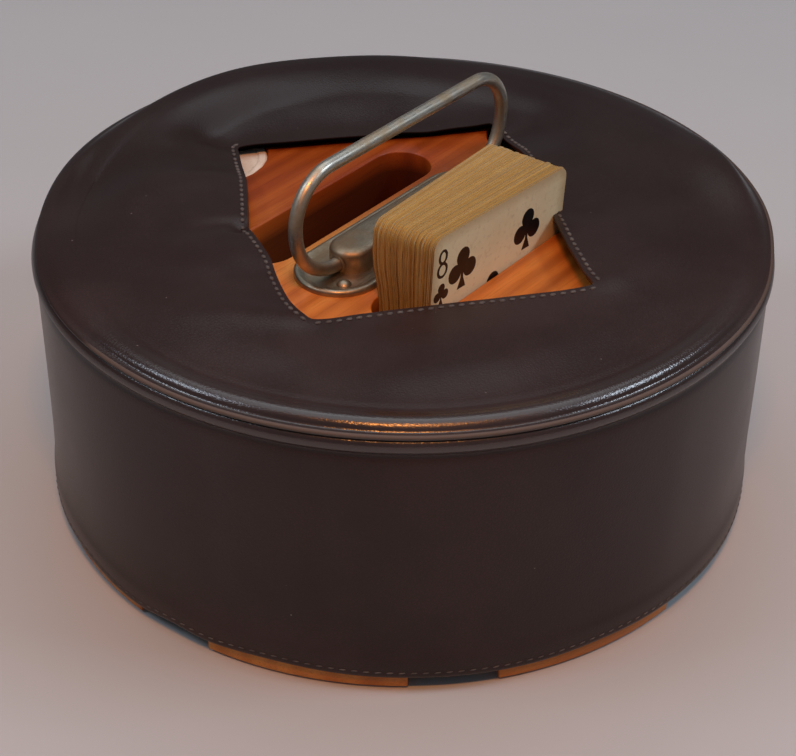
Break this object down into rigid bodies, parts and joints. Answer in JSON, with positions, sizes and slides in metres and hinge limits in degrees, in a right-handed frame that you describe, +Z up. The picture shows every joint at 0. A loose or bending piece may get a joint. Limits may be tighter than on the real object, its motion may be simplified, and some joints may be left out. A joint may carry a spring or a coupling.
{
  "type": "poker chip caddy",
  "caption": "Round wooden poker chip and card rack with a wire bail handle, under a loose sewn vinyl cover with an opening for the handle and the cards.",
  "frame": {"origin": "middle of the base, on the surface that the caddy stands on", "axes": "+Z up; X along the bail handle's hinge and the card pockets; the pack of cards stands in the pocket on the -Y side"},
  "size_m": [0.22, 0.22, 0.1221],
  "materials": {
    "felt": "matte felt",
    "wood": "satin varnish",
    "screw_steel": "plain",
    "aged_nickel": "aged satin",
    "card": "worn coated card",
    "vinyl": "semi-gloss grained vinyl",
    "white_chip": "worn satin",
    "red_chip": "worn satin",
    "blue_chip": "worn satin"
  },
  "bodies": {
    "rack": {"base_felt": "felt", "base_board": "wood", "base_screws": "screw_steel", "rack_block": "wood", "handle_plate": "aged_nickel", "handle_nails": "aged_nickel", "white_chips_1": "white_chip", "white_chips_2": "white_chip", "white_chips_3": "white_chip", "white_chips_4": "white_chip", "red_chips_1": "red_chip", "red_chips_2": "red_chip", "blue_chips_1": "blue_chip", "blue_chips_2": "blue_chip"},
    "bail": {"bail": "aged_nickel"},
    "cards": {"face_card": "card", "card_pack": "card"},
    "cover": {"cover_top_panel": "vinyl", "cover_opening_facing": "vinyl", "cover_side_band": "vinyl", "cover_back_seam": "vinyl"}
  },
  "joints": [
    {"name": "bail_swing", "type": "hinge", "parent": "rack", "child": "bail", "pos_m": [0, 0, 0.0865], "axis": [-1, 0, 0], "range_deg": [-20, 50]},
    {"name": "card_lift", "type": "slide", "parent": "rack", "child": "cards", "axis": [0, 0, 1], "range_m": [0, 0.075]},
    {"name": "cover_lift", "type": "slide", "parent": "rack", "child": "cover", "axis": [0, 0, 1], "range_m": [0, 0.14]}
  ]
}
